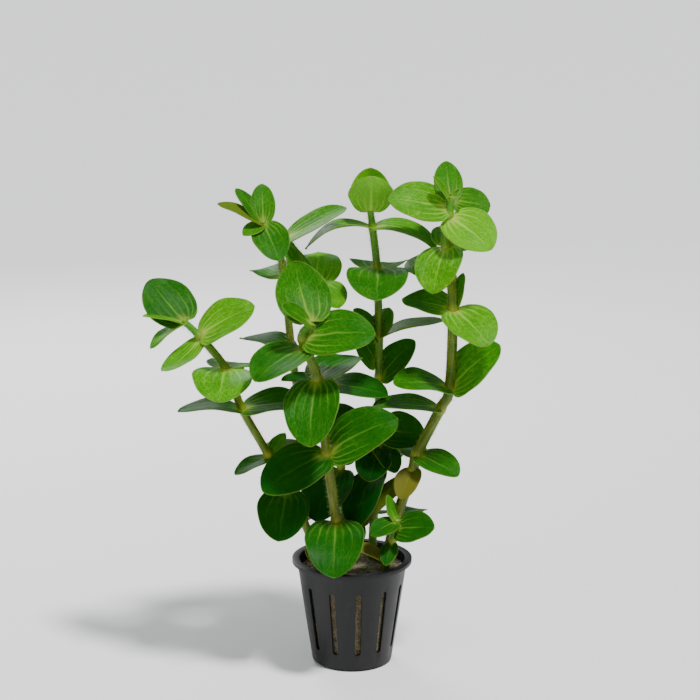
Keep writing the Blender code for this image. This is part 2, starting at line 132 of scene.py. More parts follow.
# Young leaves and the small leaves of side shoots, in the same columns. The solids have them in their stem.
youngLeaves = {
    "front": [(0.5, 248, -8, 0, 15, 12, 20, 0.2)],
    "left": [(2, 204, -20, -9, 17, 11, 20, 0.3), (6, 149, 42, -30, 25, 23, -25, 0.3),
             (6, 216, -29, 10, 19, 13, 20, 0.7), (6, 190, 12, -7, 18, 9, 20, 0.8),
             (0.6, 270, -27, -2, 11, 7, 20, 0.2), (2, 20, 55, 20, 12, 9, 10, 0.5)],
    "centre": [(4.08, 60, 53, 0, 13, 11, 20, 0.6), (4, 199, 50, -38, 18, 12, 20, 0.4),
               (1.7, 305, -38, 0, 16, 13, 25, 0.1), (7, 270, 66, 0, 18, 20, -70, 1.0),
               (7, 90, 66, 0, 20, 18, -90, 1.0), (7, 5, 70, 0, 15, 8, -60, 0.9),
               (7, 175, 70, 0, 15, 8, -60, 0.9), (1.55, 255, -35, 0, 18, 17, 20, 0.05),
               (0.5, 85, -15, 0, 19, 17, 20, 0.1)],
    "right": [(2.3, 246, -39, 0, 17, 12, 30, 0.5), (3, 100, 0, 0, 15, 13, 25, 0.3),
              (6.1, 40, 71, 0, 16, 8, 10, 0.7), (10, 48, -12, 80, 28, 13, 20, 0.55),
              (10, 100, 60, 0, 18, 13, -20, 0.6), (10, 203, 52, -43, 13, 6, 10, 0.7)],
    "rear_left": [(5, 299, -42, 15, 21, 16, 20, 0.4), (5, 191, 25, -17, 21, 11, 15, 0.6),
                  (5, 95, 59, 0, 18, 11, 10, 0.5), (5, 228, -20, -23, 12, 8, 10, 0.6),
                  (5, 157, 48, -18, 19, 9, 10, 0.4), (3, 120, 0, -10, 22, 20, 30, 0.4),
                  (1, 165, 5, 0, 20, 17, 25, 0.15), (0.45, 215, -15, 0, 20, 18, 20, 0.1)],
    "rear": [(4, 300, -60, 0, 13, 7, 10, 0.6), (0.4, 285, -20, 0, 20, 15, 20, 0.05),
             (1.8, 300, -38, 0, 20, 18, 20, 0.08)],
    "low": [(3, 215, -16, -22, 14, 11, 20, 0.3), (2, 252, -38, 0, 12, 8, 20, 0.2),
            (3, 140, 65, 0, 12, 7, -20, 0.6), (1, 198, 25, -19, 16, 11, 20, 0.2)],
}

# Leaves that have aged: how far, from 0 to 1, towards olive and then tan.
# Young leaves go by shoot, joint and heading.
agedLeaves = {"right_2_left": 0.5, "right_2.3_246": 0.8, "low_1_198": 0.8, "front_1_far": 0.45,
              "left_0.6_270": 0.5, "front_0.5_248": 0.6, "rear_left_1_165": 0.3, "rear_left_0.45_215": 0.4,
              "rear_0.4_285": 0.2, "rear_left_5_191": 0.45, "centre_4_right": 0.25}


def fillInputs(tree, node, inputs):  # inputs takes numbers, colours or other nodes' sockets
    for key, value in inputs.items():
        if isinstance(value, bpy.types.NodeSocket):
            tree.links.new(value, node.inputs[key])
        else:
            node.inputs[key].default_value = value


def addNode(tree, kind, inputs=None, **settings):
    made = tree.nodes.new(kind)
    for key, value in settings.items():
        setattr(made, key, value)
    fillInputs(tree, made, inputs or {})
    return made


def maths(tree, operation, first, second=0.0):
    return addNode(tree, "ShaderNodeMath", {0: first, 1: second}, operation=operation).outputs[0]


def plus(tree, first, second):
    return maths(tree, "ADD", first, second)


def less(tree, first, second):
    return maths(tree, "SUBTRACT", first, second)


def times(tree, first, second):
    return maths(tree, "MULTIPLY", first, second)


def flip(tree, value):  # turns 0 into 1, and 1 into 0
    return less(tree, 1.0, value)


def line(tree, value, start, slope):
    return plus(tree, start, times(tree, value, slope))


def fade(tree, value, low, high):  # 0 at low, 1 at high, smooth between
    return addNode(tree, "ShaderNodeMapRange", {"Value": value, "From Min": low, "From Max": high},
                   interpolation_type="SMOOTHSTEP").outputs["Result"]


def joinAxes(tree, x, y, z=0.0):
    return addNode(tree, "ShaderNodeCombineXYZ", {0: x, 1: y, 2: z}).outputs[0]


def splitAxes(tree, vector):
    return addNode(tree, "ShaderNodeSeparateXYZ", {0: vector}).outputs


def cloudy(tree, place, scale, detail=2.0, output="Fac"):
    made = addNode(tree, "ShaderNodeTexNoise", {"Vector": place, "Scale": scale, "Detail": detail})
    return made.outputs[output]


def readAttribute(tree, name, output="Vector"):
    return addNode(tree, "ShaderNodeAttribute", attribute_name=name).outputs[output]


def objectPlace(tree):
    return addNode(tree, "ShaderNodeTexCoord").outputs["Object"]


def withAlpha(colour):
    return colour if isinstance(colour, bpy.types.NodeSocket) else (*colour, 1)


def mixColours(tree, factor, first, second):
    made = tree.nodes.new("ShaderNodeMix")
    made.data_type = "RGBA"
    fillInputs(tree, made, {0: factor, 6: withAlpha(first), 7: withAlpha(second)})
    return made.outputs[2]


def colourRamp(tree, value, stops):
    made = addNode(tree, "ShaderNodeValToRGB", {"Fac": value})
    ramp = made.color_ramp
    while len(ramp.elements) < len(stops):
        ramp.elements.new(0.5)
    for element, (place, colour) in zip(ramp.elements, stops):
        element.position = place
        element.color = (*colour, 1)
    return made.outputs["Color"]


def newGroup(name, inputs, outputs):
    group = bpy.data.node_groups.new(name, "ShaderNodeTree")
    for label, value in inputs.items():
        socket = group.interface.new_socket(label, in_out="INPUT", socket_type="NodeSocketFloat")
        socket.default_value = value
    for label in outputs:
        group.interface.new_socket(label, in_out="OUTPUT", socket_type="NodeSocketFloat")
    return group, group.nodes.new("NodeGroupInput").outputs, group.nodes.new("NodeGroupOutput").inputs


def placeGroup(tree, group, values):
    made = tree.nodes.new("ShaderNodeGroup")
    made.node_tree = group
    fillInputs(tree, made, values)
    return made.outputs


def newFinish(name):
    finish = bpy.data.materials.new(name)
    finish.use_nodes = True
    return finish, finish.node_tree, finish.node_tree.nodes["Principled BSDF"]


def addBump(tree, shader, height, strength, depth):  # depth in millimetres
    bump = addNode(tree, "ShaderNodeBump", {"Height": height, "Strength": strength, "Distance": depth * mm})
    tree.links.new(bump.outputs["Normal"], shader.inputs["Normal"])
    return bump.outputs["Normal"]


leafLooks = {
    "fanVeins": 3.6,       # main veins on each side of the midrib
    "veinWidth": 0.070,
    "veinCore": 0.35,      # the part of a vein's width that has its full strength
    "veinTaper": 1.25,     # its width at the base, in vein widths; at the tip it is 1 less
    "veinReach": (0.7, 0.8),  # how wide the outer veins are, and how much wider the midrib is
    "veinsMeet": 1.06,     # where along the leaf the veins run together, just past its tip
    "veinDrift": 0.06, "driftScale": 5.0,  # how far and how finely the veins wander
    "fadeFrom": 0.15, "fadeTo": 0.62, "fadeDepth": 0.88,  # the veins grow faint along the leaf
    "midribFurther": 0.4,  # how much further the midrib runs
    "lesserVeins": (0.35, 0.6),  # how much fainter every second vein is, at the base and then further out
    "haloWidth": 3.2,      # the paler flesh along a main vein, in vein widths
    "netAcross": 3.3,      # cells of the fine net across one space between main veins
    "netAlong": 10.5,      # and along the leaf
    "netWidth": 0.12,      # its lines, as a share of a cell
    "netSlant": 0.55, "netBend": 0.9, "bendScale": 0.9,
    "baseSpread": 1.3,     # how much less the base's pale spot spreads sideways
    "spotReach": (0.03, 0.24), "nearBase": (0.1, 0.55),  # from the base, as shares of the leaf
    "marginWidth": (0.1, 0.4),  # in millimetres
    "mottleScale": 3.0,
    "toneSpread": 0.4,     # how much the mottling shifts the tone
    # The tone colours: the dark end is partly painted shade, on leaves set dark because they sit in shadow,
    # and the pale end is partly painted light, on lit top leaves.
    "toneStops": [(0.0, "deep"), (0.3, "green"), (0.65, "bright"), (1.0, "lime")],
    "deep": (0.003, 0.075, 0.003),
    "green": (0.006, 0.125, 0.001),
    "bright": (0.030, 0.240, 0.0003),
    "lime": (0.130, 0.450, 0.0003),
    "veinDeep": (0.022, 0.155, 0.006),
    "veinLime": (0.430, 0.770, 0.075),
    "netTones": (-0.3, 0.8), "haloTones": (0.1, 1.4),  # tones where net and streaks come up
    "streakLeast": 0.25,
    "nodeSpot": (0.600, 0.680, 0.110), "spotStrength": (0.25, 0.7),  # on deep green, and more on lime
    "margin": (0.280, 0.470, 0.070), "marginStrength": (0.25, 0.5),
    "marginRed": (0.300, 0.190, 0.050), "redPatches": (0.5, 0.65),
    "bloom": (0.420, 0.560, 0.220),
    "olive": (0.135, 0.185, 0.006), "oliveAge": 0.2,
    "tan": (0.210, 0.185, 0.028), "fullAge": 0.7,
    "dryVein": (0.400, 0.380, 0.080), "dryVeins": 0.5,
    "mottleGloss": 0.16,
    "netDepth": -0.5, "veinDepth": -0.7, "bump": 0.5,
    "glow": (0.380, 0.850, 0.010), "glowTint": 0.25, "glowShare": 0.36,  # light that comes through the leaf
    "ior": 1.18,           # low, so that leaves seen edge on keep their green
}
leafSides = {
    "leafTop": {"net": 0.38, "bloom": 0.0, "roughness": 0.34, "relief": 0.12},
    "leafUnderside": {"net": 0.3, "bloom": 0.1, "roughness": 0.5, "relief": -0.15},
}


def makeLeafPattern():
    looks = leafLooks
    group, given, result = newGroup(
        "leafPattern", {"Vein Width": looks["veinWidth"], "Net Width": looks["netWidth"]},
        ["Veins", "Halo", "Net", "Base Spot", "Near Base", "Margin", "Tone", "Age", "Mottle"])
    share, across, _ = splitAxes(group, addNode(group, "ShaderNodeUVMap", uv_map="flatLeaf").outputs["UV"])
    tone, age, seed = splitAxes(group, readAttribute(group, "leafLook"))
    edge = readAttribute(group, "edgeDistance", "Fac")
    onLeaf = joinAxes(group, share, across, seed)

    # main veins spread from the base in a fan and bow together again towards the tip
    drift = times(group, less(group, cloudy(group, onLeaf, looks["driftScale"]), 0.5), looks["veinDrift"])
    bowed = maths(group, "SQRT", times(group, maths(group, "MAXIMUM", share, 0.0),
                                       less(group, looks["veinsMeet"], share)))
    fan = maths(group, "DIVIDE", plus(group, across, drift), maths(group, "MAXIMUM", bowed, 0.02))
    strand = times(group, fan, looks["fanVeins"])
    offVein = times(group, maths(group, "PINGPONG", strand, 0.5), bowed)

    # they are widest at the base and thin out towards the tip and the side
    midrib = maths(group, "MAXIMUM", flip(group, maths(group, "ABSOLUTE", strand)), 0.0)
    reach = times(group, less(group, looks["veinTaper"], share), line(group, midrib, *looks["veinReach"]))
    limit = times(group, reach, given["Vein Width"])
    veins = flip(group, fade(group, offVein, times(group, limit, looks["veinCore"]), limit))
    halo = flip(group, fade(group, offVein, 0.0, times(group, limit, looks["haloWidth"])))

    # they fade along the leaf, and every second vein is fainter and ends sooner
    ending = line(group, midrib, looks["fadeTo"], looks["midribFurther"])
    strength = flip(group, times(group, fade(group, share, looks["fadeFrom"], ending), looks["fadeDepth"]))
    lesser = times(group, maths(group, "PINGPONG", strand, 1.0), line(group, share, *looks["lesserVeins"]))
    strength = times(group, strength, flip(group, lesser))

    # the fine net follows the main veins, slants back from the midrib and is bent a little
    slant = times(group, maths(group, "ABSOLUTE", strand), looks["netSlant"])
    along = less(group, times(group, share, looks["netAlong"]), slant)
    netAt = joinAxes(group, times(group, strand, looks["netAcross"]), along, seed)
    bend = addNode(group, "ShaderNodeVectorMath",
                   {0: cloudy(group, netAt, looks["bendScale"], 1.0, "Color"),
                    1: (looks["netBend"], looks["netBend"], 0.0)}, operation="MULTIPLY").outputs[0]
    netAt = addNode(group, "ShaderNodeVectorMath", {0: netAt, 1: bend}, operation="ADD").outputs[0]
    cells = addNode(group, "ShaderNodeTexVoronoi", {"Vector": netAt, "Scale": 1.0},
                    feature="DISTANCE_TO_EDGE").outputs["Distance"]

    fromBase = joinAxes(group, share, times(group, across, looks["baseSpread"]))
    fromBase = addNode(group, "ShaderNodeVectorMath", {0: fromBase}, operation="LENGTH").outputs["Value"]
    made = {
        "Veins": times(group, veins, strength),
        "Halo": times(group, halo, strength),
        "Net": flip(group, fade(group, cells, 0.0, given["Net Width"])),
        "Base Spot": flip(group, fade(group, fromBase, *looks["spotReach"])),
        "Near Base": flip(group, fade(group, fromBase, *looks["nearBase"])),
        "Margin": flip(group, fade(group, edge, *looks["marginWidth"])),
        "Tone": tone, "Age": age,
        "Mottle": cloudy(group, onLeaf, looks["mottleScale"], 4.0),
    }
    for label, value in made.items():
        group.links.new(value, result[label])
    return group


def makeLeafFinish(name, pattern):
    looks, side = leafLooks, leafSides[name]
    finish, tree, shader = newFinish(name)
    parts = placeGroup(tree, pattern, {"Vein Width": looks["veinWidth"], "Net Width": looks["netWidth"]})
    uneven = times(tree, less(tree, parts["Mottle"], 0.5), looks["toneSpread"])
    tone = plus(tree, parts["Tone"], uneven)
    # Painted light and shade: the tone ramp darkens leaves that sit in shadow and pales lit top leaves, as
    # well as giving each leaf its own colour of age.
    colour = colourRamp(tree, tone, [(place, looks[shade]) for place, shade in looks["toneStops"]])

    pale = mixColours(tree, tone, looks["veinDeep"], looks["veinLime"])
    streaks = times(tree, parts["Near Base"], fade(tree, tone, *looks["haloTones"]))
    streaks = times(tree, parts["Halo"], plus(tree, looks["streakLeast"], streaks))
    net = times(tree, parts["Net"], fade(tree, tone, *looks["netTones"]))
    net = times(tree, net, plus(tree, 0.5, parts["Mottle"]))
    colour = mixColours(tree, streaks, colour, pale)
    colour = mixColours(tree, times(tree, net, side["net"]), colour, pale)
    colour = mixColours(tree, parts["Veins"], colour, pale)

    spot = times(tree, parts["Base Spot"], line(tree, tone, *looks["spotStrength"]))
    colour = mixColours(tree, spot, colour, looks["nodeSpot"])
    reddish = fade(tree, parts["Mottle"], *looks["redPatches"])
    rim = mixColours(tree, reddish, looks["margin"], looks["marginRed"])
    rimAmount = times(tree, parts["Margin"], line(tree, tone, *looks["marginStrength"]))
    colour = mixColours(tree, rimAmount, colour, rim)
    colour = mixColours(tree, side["bloom"], colour, looks["bloom"])

    dry = colourRamp(tree, plus(tree, parts["Age"], uneven),
                     [(looks["oliveAge"], looks["olive"]), (1.0, looks["tan"])])
    dry = mixColours(tree, times(tree, parts["Veins"], looks["dryVeins"]), dry, looks["dryVein"])
    colour = mixColours(tree, fade(tree, parts["Age"], 0.0, looks["fullAge"]), colour, dry)

    fillInputs(tree, shader, {
        "Base Color": colour, "IOR": looks["ior"],
        "Roughness": plus(tree, side["roughness"], times(tree, parts["Mottle"], looks["mottleGloss"]))})
    height = plus(tree, times(tree, parts["Net"], looks["netDepth"]),
                  times(tree, parts["Veins"], looks["veinDepth"]))
    normal = addBump(tree, shader, height, looks["bump"], side["relief"])
    glow = addNode(tree, "ShaderNodeBsdfTranslucent", {
        "Color": mixColours(tree, looks["glowTint"], colour, looks["glow"]), "Normal": normal})
    blend = addNode(tree, "ShaderNodeMixShader", {
        0: looks["glowShare"], 1: shader.outputs[0], 2: glow.outputs[0]})
    tree.links.new(blend.outputs[0], tree.nodes["Material Output"].inputs["Surface"])
    return finish


stemPlan = {
    "stepsPerJoint": 24,
    "rootSteps": 6,        # steps below the plug's top
    "tipShare": 0.85,      # radius at the tip, as a share of the radius at the plug
    "plantingDepth": 12,
    "solidGap": 0.3,       # between a leaf's solid and its stem's
    "youngSink": 0.7,      # how deep a young leaf's base sits in the stem, in stem radii
    "leafSink": 0.55,
    "leastNearness": 0.5,  # a tilted leaf's solid starts no further out than 1 / this many stem radii
}


def smoothRoute(joints, steps):
    joints = [Vector(joint) for joint in joints]
    padded = [joints[0] * 2 - joints[1], *joints, joints[-1] * 2 - joints[-2]]
    route = []
    for before, start, end, after in zip(padded, padded[1:], padded[2:], padded[3:]):
        for index in range(steps):
            t = index / steps
            route.append(0.5 * (2 * start + (end - before) * t
                                + (2 * before - 5 * start + 4 * end - after) * t ** 2
                                + (3 * start - before - 3 * end + after) * t ** 3))
    return route + [joints[-1]]


def directions(route):
    ends = [route[0], *route, route[-1]]
    return [(after - before).normalized() for before, after in zip(ends, ends[2:])]


def stemRadius(shoot, share):
    return shoots[shoot][0] * (1 - (1 - stemPlan["tipShare"]) * share)


def placeOnShoot(shoot, joint):  # the place, the stem's direction there and its radius
    joints = shoots[shoot][1]
    steps = stemPlan["stepsPerJoint"]
    route = smoothRoute(joints, steps)
    index = min(round(joint * steps), len(route) - 1)
    return route[index], directions(route)[index], stemRadius(shoot, joint / (len(joints) - 1))


leafForm = {
    "thickness": 0.4,
    "peak": 0.44,          # where along the leaf it is widest
    "tipPowers": (1.85, 0.58),  # they draw the leaf to a blunt tip
    "unevenEdge": 0.035, "unevenScale": 4,
    "baseShare": 0.45,     # width at the stalkless base, as a share of the widest
    "lobe": 0.05,          # how far the base's lobes reach back, as a share of the length
    "lobeRound": 0.035, "lobeLength": 0.1,
    "cup": 0.08,           # how far the sides curl up, as a share of the width
    "budArch": -60,        # young leaves that arch back at least this far close over a bud
    "budTipPowers": (2.0, 0.5),  # a plain ellipse
    "budCup": 0.24,
    "innerBaseShare": 0.1,  # base of the two leaves inside the bud, whose arch is budArch itself
    "stepSize": 0.62,      # about how far apart the mesh's points are
    "fewestSteps": (12, 14),  # across and along
    "veinFold": 0.08,      # how far the leaf bulges between its main veins
    "cellFold": 0.07, "cellAcross": 1.3, "cellLength": 2.6, "cellSlope": 2,
    "midribGroove": 0.25, "grooveWidth": 0.6,
    "calm": (0.35, 0.18, 0.2),  # shares of the base, the rim and the tip where the folds die away
    "foldedWidth": 18,     # leaves this wide have their full folds
    "wave": 0.8, "waveAlong": 1.6, "waveAcross": 0.9, "waveStart": 0.4,
    "wavedWidth": 22,
    "rimWave": 0.3, "rimWaves": 3.1,
}


def halfWidth(share, baseShare, tipPowers):
    peak = leafForm["peak"]
    if share < peak:
        offset = (peak - share) / peak * (1 - baseShare ** 2) ** 0.5
        return max(0.0, 1 - offset ** 2) ** 0.5
    offset = (share - peak) / (1 - peak)
    return max(0.0, 1 - offset ** tipPowers[0]) ** tipPowers[1]


def aimed(heading, rise):
    return Vector((math.cos(heading) * math.cos(rise), math.sin(heading) * math.cos(rise), math.sin(rise)))


def leafAxes(heading, rise, roll):
    heading, rise, roll = (math.radians(angle) for angle in (heading, rise, roll))
    along = aimed(heading, rise)
    level = Vector((-math.sin(heading), math.cos(heading), 0))
    upper = along.cross(level)
    return (along, level * math.cos(roll) + upper * math.sin(roll),
            upper * math.cos(roll) - level * math.sin(roll))


def leafStart(shoot, joint, axes, young):  # where the leaf grows from, and how much longer that makes it
    place, stem, radius = placeOnShoot(shoot, joint)
    along, across, _ = axes
    outward = (along - stem * along.dot(stem)).normalized()
    if young:
        sink = stemPlan["youngSink"]
        return place + outward * radius * (1 - sink) - stem * radius * sink, 0.0
    nearness = max(abs(outward.dot(across.cross(stem).normalized())), stemPlan["leastNearness"])
    solidStart = (radius + stemPlan["solidGap"]) / nearness
    start = radius * (1 - stemPlan["leafSink"])
    return place + outward * start, solidStart - start


def leafRelief(share, side, across, length, width, seed):  # how far a point stands off the plain arch
    form = leafForm
    bowed = max(share * (leafLooks["veinsMeet"] - share), 0.0004) ** 0.5
    strand = across / width / bowed * leafLooks["fanVeins"]
    calmBase, calmRim, calmTip = form["calm"]
    calm = (min(1, share / calmBase) ** 1.5 * min(1, (1 - abs(side)) / calmRim)
            * min(1, (1 - share) / calmTip))
    bulge = form["veinFold"] * (0.5 - 0.5 * math.cos(2 * math.pi * strand))
    cell = Vector((strand * form["cellAcross"] + seed, share * length / form["cellLength"], seed))
    nearest, second = noise.voronoi(cell)[0][:2]
    bulge += form["cellFold"] * min(1.0, (second - nearest) * form["cellSlope"])
    groove = form["midribGroove"] * math.exp(-(across / form["grooveWidth"]) ** 2) * (1 - share)
    spot = Vector((share * form["waveAlong"] + seed, side * form["waveAcross"], seed))
    wave = form["wave"] * noise.noise(spot) * width / form["wavedWidth"]
    rim = (form["rimWave"] * abs(side) ** 3 * math.sin(math.pi * (form["rimWaves"] * share + seed))
           * width / form["wavedWidth"])
    return ((bulge - groove) * calm * min(1, width / form["foldedWidth"])
            + (wave + rim) * min(1, share / form["waveStart"]))


def shapeLeaf(bm, shoot, row, young, age, seed):
    form = leafForm
    joint, heading, rise, roll, length, width, arch, tone = row
    axes = leafAxes(heading, rise, roll)
    along, across, upper = axes
    start, extra = leafStart(shoot, joint, axes, young)
    length += extra
    bend = math.radians(arch)
    scale = length / (2 * math.sin(bend / 2))
    fewestColumns, fewestRows = form["fewestSteps"]
    columns = max(fewestColumns, 2 * round(width / form["stepSize"] / 2))
    rows = max(fewestRows, round(length / form["stepSize"]))
    made = bmesh.ops.create_grid(bm, x_segments=columns, y_segments=rows, size=1)["verts"]
    flat = bm.loops.layers.uv["flatLeaf"]
    edgeLayer = bm.verts.layers.float["edgeDistance"]
    lookLayer = bm.verts.layers.float_vector["leafLook"]
    flatPlace = {}
    inBud = young and arch <= form["budArch"]
    cup = form["budCup" if inBud else "cup"]
    tipPowers = form["budTipPowers" if inBud else "tipPowers"]
    baseShare = form["innerBaseShare" if inBud and arch == form["budArch"] else "baseShare"]
    for vert in made:
        side, share = -vert.co.x, (1 - math.cos(math.pi * (vert.co.y + 1) / 2)) / 2
        half = width / 2 * halfWidth(share, baseShare, tipPowers)
        uneven = noise.noise(Vector((share * form["unevenScale"] + seed, side, seed)))
        half *= 1 + form["unevenEdge"] * uneven
        out = side * half
        corner = max(0, 1 - share / form["lobeLength"]) ** 2 * side ** 8
        shifted = share - form["lobe"] * side ** 2 * (1 - share) ** 3 + form["lobeRound"] * corner
        lift = cup * width * side ** 2 * math.sin(math.pi * share)
        lift += leafRelief(share, side, out, length, width, seed)
        lean = bend * (0.5 - shifted)
        far = scale * (math.sin(bend / 2) - math.sin(lean)) - lift * math.sin(lean)
        up = scale * (math.cos(lean) - math.cos(bend / 2)) + lift * math.cos(lean)
        vert.co = (start + along * far + upper * up + across * out) * mm
        vert[edgeLayer] = min((1 - abs(side)) * half, (1 - share) * length)
        vert[lookLayer] = (tone, age, seed)
        flatPlace[vert] = (share, out / width)
    for face in {face for vert in made for face in vert.link_faces}:
        for loop in face.loops:
            loop[flat].uv = flatPlace[loop.vert]


def newLeafMesh():
    bm = bmesh.new()
    bm.loops.layers.uv.new("flatLeaf")
    bm.verts.layers.float.new("edgeDistance")
    bm.verts.layers.float_vector.new("leafLook")
    return bm


def finishPiece(name, bm, finishes, replaced=()):
    mesh = bpy.data.meshes.new(name)
    bm.to_mesh(mesh)
    bm.free()
    for finish in finishes:
        mesh.materials.append(finish)
    mesh.shade_smooth()
    piece = bpy.data.objects.new(name, mesh)
    bpy.context.collection.objects.link(piece)
    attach(piece, "root")
    if replaced:
        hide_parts(*replaced)
    return piece


def finishLeaf(name, bm, finishes, replaced=()):
    bmesh.ops.remove_doubles(bm, verts=bm.verts, dist=0.01 * mm)
    piece = finishPiece(name, bm, finishes, replaced)
    wall = piece.modifiers.new("leaf thickness", "SOLIDIFY")
    wall.thickness = leafForm["thickness"] * mm
    wall.offset = 0
    wall.material_offset = 1


def makeLeaves(finishes):
    count = 0
    for shoot, rows in leaves.items():
        for place, row in rows.items():
            bm = newLeafMesh()
            name = f"{shoot}_{place}"
            seed = random.Random(name).uniform(0, 40)
            shapeLeaf(bm, shoot, row, False, agedLeaves.get(name, 0), seed)
            finishLeaf(f"leafBlade_{name}", bm, finishes, [f"leaf_{name}"])
            count += 1
    print("leaves:", count)


def makeYoungLeaves(finishes):
    count = 0
    for shoot, rows in youngLeaves.items():
        bm = newLeafMesh()
        for row in rows:
            age = agedLeaves.get(f"{shoot}_{row[0]}_{row[1]}", 0)
            seed = random.Random(f"{shoot}{row}").uniform(0, 40)
            shapeLeaf(bm, shoot, row, True, age, seed)
            count += 1
        finishLeaf(f"youngLeaves_{shoot}", bm, finishes)
    print("young leaves:", count)


stemForm = {
    "sides": 20,
    "nodeSwell": 0.2,      # how much wider the stem is at a joint
    "nodeLength": 1.6,
    "tipTaper": 0.2, "taperStart": 0.8, "taperLength": 0.2,
    "ribs": 4, "ribDepth": 0.035,
    "streakLength": 16,    # how drawn out the stem's markings are
    "streakScale": 2.2, "streakEdges": (0.38, 0.66),
    "patchScale": 0.7, "patchEdges": (0.3, 0.65),
    "freshHeights": (0.55, 1.0),  # the stem turns green between these shares of its height
    "nodePaleness": (0.6, 0.3),   # at the plug, and how much less at the tip
    "olive": (0.050, 0.130, 0.003),
    "yellow": (0.160, 0.215, 0.005),
    "tipGreen": (0.060, 0.260, 0.003),
    "redBrown": (0.170, 0.085, 0.006),
    "nodePale": (0.420, 0.430, 0.030),
    "roughness": 0.42, "specular": 0.3,
    "softness": 0.15, "softColours": (0.6, 1.0, 0.2), "softDepth": 1.5,
    "bump": 0.35, "bumpDepth": 0.15,
    # how reddish each stem is towards its base, or, below 0, how green
    "tint": {"front": 0.4, "left": 0.2, "centre": -0.55, "right": 0.25, "rear_left": 0.35, "rear": -0.4,
             "low": 0.3},
}


def makeStemFinish():
    form = stemForm
    finish, tree, shader = newFinish("stemSkin")
    height, nearNode, tint = splitAxes(tree, readAttribute(tree, "stemLook"))
    wrapped = readAttribute(tree, "stemRound")
    streaks = cloudy(tree, wrapped, form["streakScale"], 4.0)
    patches = cloudy(tree, wrapped, form["patchScale"])
    colour = mixColours(tree, fade(tree, streaks, *form["streakEdges"]), form["olive"], form["yellow"])
    fresh = maths(tree, "MAXIMUM", fade(tree, height, *form["freshHeights"]), times(tree, tint, -1.0))
    colour = mixColours(tree, fresh, colour, form["tipGreen"])
    red = times(tree, maths(tree, "MAXIMUM", tint, 0.0), fade(tree, patches, *form["patchEdges"]))
    colour = mixColours(tree, red, colour, form["redBrown"])
    atPlug, fall = form["nodePaleness"]
    pale = times(tree, nearNode, less(tree, atPlug, times(tree, height, fall)))
    colour = mixColours(tree, pale, colour, form["nodePale"])
    fillInputs(tree, shader, {
        "Base Color": colour, "Roughness": form["roughness"], "Specular IOR Level": form["specular"],
        "Subsurface Weight": form["softness"], "Subsurface Radius": form["softColours"],
        "Subsurface Scale": form["softDepth"] * mm})
    addBump(tree, shader, streaks, form["bump"], form["bumpDepth"])
    return finish


def makeStem(shoot, finish):
    form = stemForm
    radius, joints = shoots[shoot]
    steps, rootSteps = stemPlan["stepsPerJoint"], stemPlan["rootSteps"]
    route = smoothRoute(joints, steps)
    depth = Vector((0, 0, stemPlan["plantingDepth"]))
    route = [route[0] - depth * (1 - index / rootSteps) for index in range(rootSteps)] + route
    ways = directions(route)
    total = len(route) - 1
    nodePlaces = [route[rootSteps + index * steps] for index in range(1, len(joints))]
    bm = bmesh.new()
    lookLayer = bm.verts.layers.float_vector.new("stemLook")
    roundLayer = bm.verts.layers.float_vector.new("stemRound")
    ring = bmesh.ops.create_circle(bm, segments=form["sides"], radius=1, cap_ends=True)["verts"]
    turns = {vert: math.atan2(vert.co.y, vert.co.x) for vert in ring}
    edges = list(bm.edges)
    sideways = Vector((1, 0, 0))
    for index, (place, way) in enumerate(zip(route, ways)):
        if index:
            grown = bmesh.ops.extrude_edge_only(bm, edges=edges)["geom"]
            edges = [item for item in grown if isinstance(item, bmesh.types.BMEdge)]
            fresh = [item for item in grown if isinstance(item, bmesh.types.BMVert)]
            turns = {vert: turns[next(edge.other_vert(vert) for edge in vert.link_edges
                                      if edge.other_vert(vert) in turns)] for vert in fresh}
        sideways = (sideways - way * sideways.dot(way)).normalized()
        other = way.cross(sideways)
        share = max(0, index - rootSteps) / (total - rootSteps)
        near = max(math.exp(-((place - node).length / form["nodeLength"]) ** 2) for node in nodePlaces)
        size = stemRadius(shoot, share) * (1 + form["nodeSwell"] * near)
        size *= 1 - form["tipTaper"] * max(0, share - form["taperStart"]) / form["taperLength"]
        for vert, turn in turns.items():
            girth = size * (1 + form["ribDepth"] * math.cos(form["ribs"] * turn))
            vert.co = (place + (sideways * math.cos(turn) + other * math.sin(turn)) * girth) * mm
            vert[lookLayer] = (share, near, form["tint"][shoot] * (1 - share))
            vert[roundLayer] = (math.cos(turn), math.sin(turn), radius + place.z / form["streakLength"])
    bmesh.ops.contextual_create(bm, geom=edges)
    bmesh.ops.recalc_face_normals(bm, faces=bm.faces)
    finishPiece(f"stemSkin_{shoot}", bm, [finish], [f"stem_{shoot}"])


hairForm = {
    "length": 1.7, "lengths": (0.55, 1.15),  # the shortest and longest, as shares of the length
    "girth": 0.055, "tipGirth": 0.25,  # radius at the root, and the tip's share of it
    "sides": 3,
    "perMillimetre": 13.0,
    "plugShare": 0.3, "tipMore": 0.7,  # share of them at the plug, and what the growing tip has more
    "lean": (-0.25, 0.35),  # down and up the stem
    "rootPlace": 0.9,      # in stem radii
    "pale": (0.620, 0.720, 0.300),
    "green": (0.300, 0.480, 0.080),
    "patchScale": 300.0, "patchEdges": (0.35, 0.65),
    "roughness": 0.5,
}


def makePatchyFinish(name, form, first, second):  # two colours in soft patches
    finish, tree, shader = newFinish(name)
    uneven = cloudy(tree, objectPlace(tree), form["patchScale"])
    fillInputs(tree, shader, {
        "Base Color": mixColours(tree, fade(tree, uneven, *form["patchEdges"]), form[first], form[second]),
        "Roughness": form["roughness"]})
    return finish


def addNeedle(bm, form, middle, way, length):  # a thin tapering cone, in millimetres
    aim = way.to_track_quat("Z", "Y").to_matrix().to_4x4()
    bmesh.ops.create_cone(bm, cap_ends=True, segments=form["sides"], radius1=form["girth"] * mm,
                          radius2=form["girth"] * form["tipGirth"] * mm, depth=length * mm,
                          matrix=Matrix.Translation(middle * mm) @ aim)


